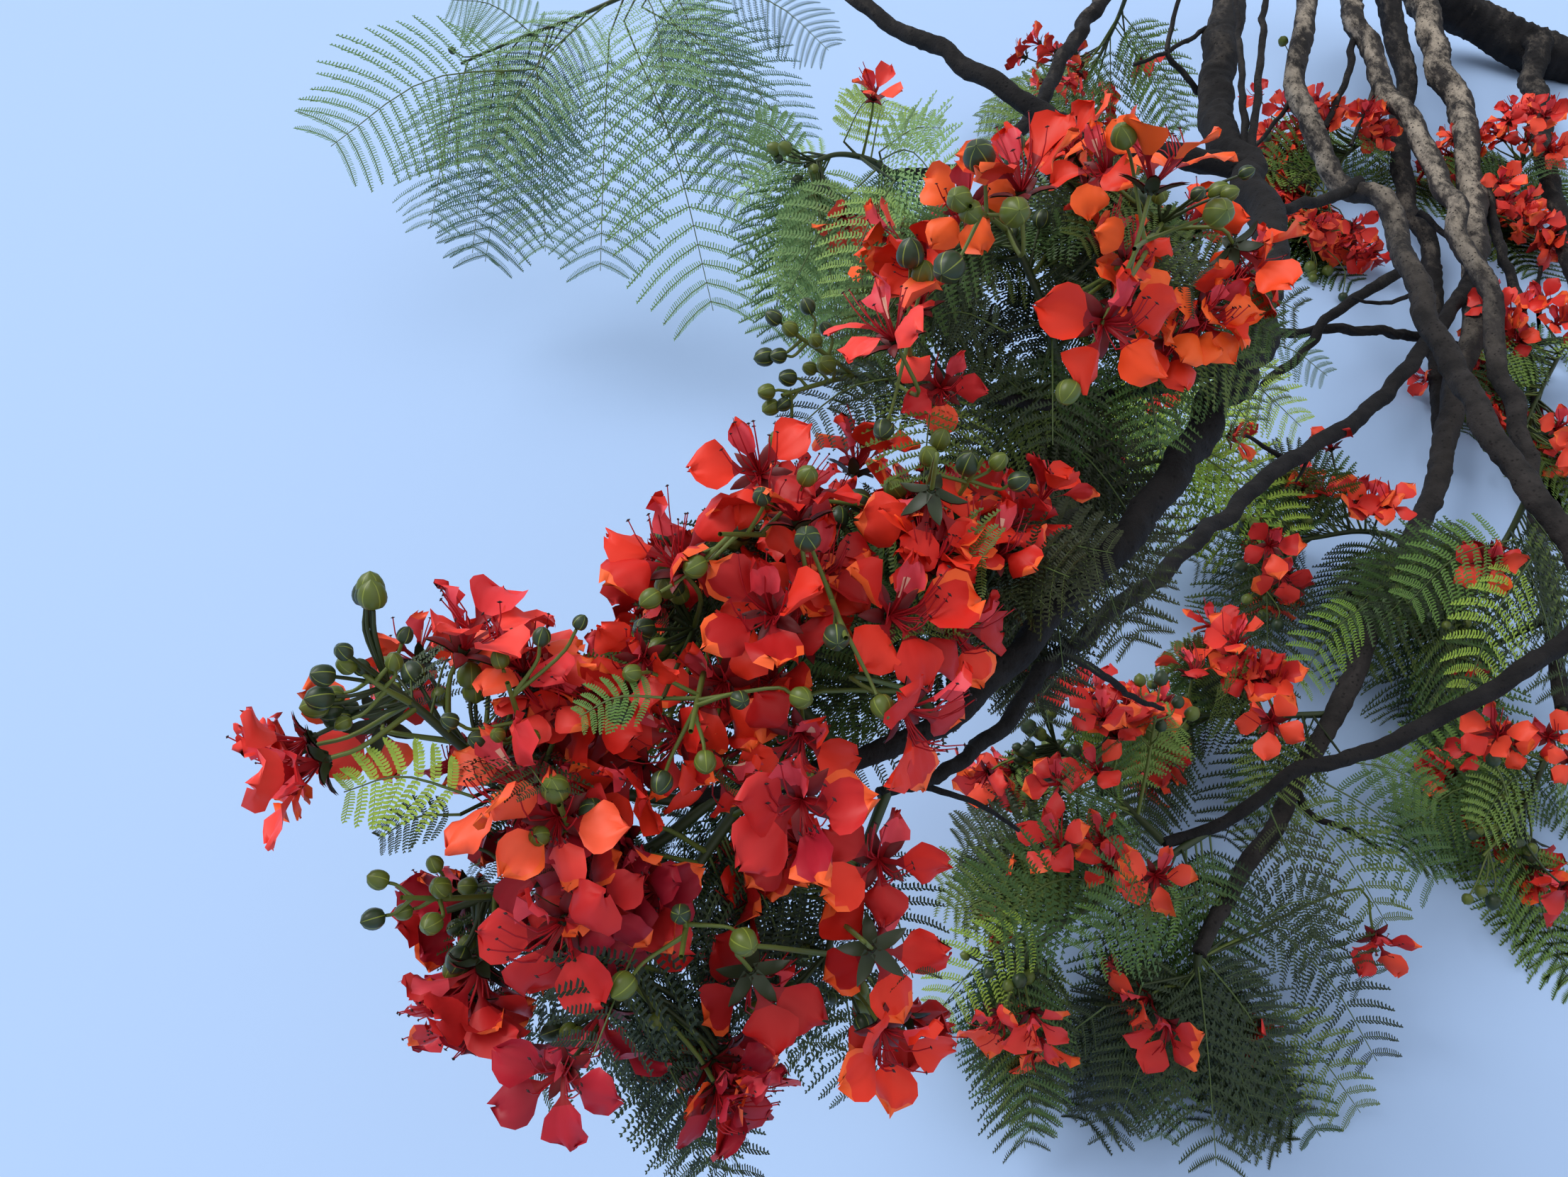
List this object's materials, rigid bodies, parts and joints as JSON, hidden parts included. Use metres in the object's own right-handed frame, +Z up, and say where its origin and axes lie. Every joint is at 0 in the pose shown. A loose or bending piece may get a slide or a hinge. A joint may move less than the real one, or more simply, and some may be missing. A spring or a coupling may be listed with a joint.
{
  "type": "flame tree bough",
  "caption": "Cut flowering bough of a flame tree, lying down, with forked limbs, feathery leaves, buds and large scarlet blooms.",
  "frame": {"origin": "centre of the bounding box, on the level ground that the bough lies on", "axes": "+X towards the thick cut end, +Y towards the back of the bough, +Z up"},
  "size_m": [3.228, 3.0512, 1.0375],
  "materials": {
    "bark": "rough grey-brown bark",
    "leaf": "matt feathery leaves",
    "petal": "satin scarlet petals"
  },
  "bodies": {
    "root": {"main_bough": "bark", "crook_bough": "bark", "inner_bough": "bark", "left_fork": "bark", "upper_fork": "bark", "great_bough": "bark", "slender_bough": "bark", "pale_bough": "bark", "spotted_bough": "bark", "rising_bough": "bark", "back_bough": "bark", "edge_bough": "bark", "cross_bough": "bark", "tip_bloom": "petal", "star_bloom": "petal", "crested_bloom": "petal", "inner_left_bloom": "petal", "spread_bloom": "petal", "plume_bloom": "petal", "ruffled_bloom": "petal", "crimson_bloom": "petal", "broad_bloom": "petal", "front_bloom": "petal", "side_bloom": "petal", "drooping_bloom": "petal", "low_bloom": "petal", "low_left_bloom": "petal", "hanging_bloom": "petal", "nodding_bloom": "petal", "lowest_bloom": "petal", "dark_face_bloom": "petal", "crown_bloom": "petal", "twin_bloom": "petal", "edge_bloom": "petal", "left_upper_bloom": "petal", "left_head": "leaf", "lower_left_head": "petal", "bottom_head": "leaf", "bottom_right_head": "leaf", "middle_head": "leaf", "crest_head": "leaf", "shoulder_head": "leaf", "dark_fronds": "leaf", "upper_left_head": "leaf", "upper_crown_head": "leaf", "upper_right_head": "petal", "top_fronds": "leaf", "light_fronds": "leaf", "top_middle_head": "petal", "right_middle_head": "leaf", "right_fan": "leaf", "lower_right_head": "petal", "lower_right_top": "petal", "lower_fronds": "leaf", "lower_left_fronds": "leaf", "far_right_head": "leaf", "back_left_head": "petal", "back_right_head": "petal", "edge_head": "petal", "back_fronds": "leaf"}
  },
  "joints": []
}
